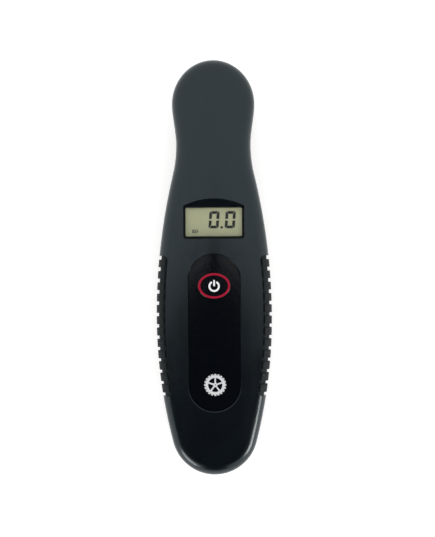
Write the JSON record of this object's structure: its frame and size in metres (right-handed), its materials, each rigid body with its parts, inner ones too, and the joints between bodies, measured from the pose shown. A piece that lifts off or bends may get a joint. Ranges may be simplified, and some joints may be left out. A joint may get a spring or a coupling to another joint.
{
  "type": "digital tyre pressure gauge",
  "caption": "Pocket digital tyre pressure gauge with a crowned case, ribbed side grips, display window, oval key and a valve chuck on the back of its round head.",
  "frame": {"origin": "on the resting plane under the middle of the length, on the plane of symmetry", "axes": "+Z out of the display face, +Y towards the round head with the valve chuck, +X to the right as the display is read"},
  "size_m": [0.0418, 0.15, 0.0232],
  "materials": {
    "case_plastic": "satin, fine grain",
    "grip_rubber": "matte, fine texture",
    "overlay_gloss": "gloss",
    "clear_window": "clear",
    "display": "satin, olive grey",
    "inner_plastic": "matte",
    "board": "solder mask",
    "component": "satin",
    "screw_steel": "zinc plated",
    "contact_steel": "bright nickel",
    "nozzle_brass": "turned",
    "seal_rubber": "matte",
    "tube_rubber": "translucent silicone"
  },
  "bodies": {
    "housing": {"front_shell": "case_plastic", "back_shell": "case_plastic", "grip_right": "grip_rubber", "grip_left": "grip_rubber", "face_overlay": "overlay_gloss", "window_lens": "clear_window", "lcd_glass": "display", "lcd_reflector": "display", "conductive_strips": "seal_rubber", "lcd_holder": "inner_plastic", "circuit_board": "board", "board_screws": "screw_steel", "controller_chip": "inner_plastic", "crystal": "contact_steel", "chip_components": "component", "switch_body": "inner_plastic", "switch_dome": "contact_steel", "pressure_sensor": "inner_plastic", "air_tube": "tube_rubber", "chuck_nozzle": "nozzle_brass", "chuck_cap": "inner_plastic", "chuck_seal": "seal_rubber", "depressor_pin": "nozzle_brass", "coin_cell": "contact_steel", "contact_minus": "contact_steel", "contact_plus": "contact_steel", "case_screws": "screw_steel"},
    "key": {"on_key": "overlay_gloss"},
    "plunger": {"switch_plunger": "inner_plastic"},
    "cover": {"battery_cover": "case_plastic", "cover_gasket": "seal_rubber"}
  },
  "joints": [
    {"name": "on_key_press", "type": "slide", "parent": "housing", "child": "key", "axis": [0, 0, -1], "range_m": [0, 0.0005], "stiffness_N_per_m": 900},
    {"name": "switch_plunger_press", "type": "slide", "parent": "housing", "child": "plunger", "axis": [0, 0, -1], "range_m": [0, 0.0005], "stiffness_N_per_m": 100, "deforming": ["switch_dome"]},
    {"name": "battery_cover_turn", "type": "hinge", "parent": "housing", "child": "cover", "pos_m": [0, -0.028, 0.0003], "axis": [0, 0, -1], "range_deg": [0, 50]}
  ],
  "couplings": [
    {"joint": "switch_plunger_press", "follows": "on_key_press", "ratio": 1}
  ]
}
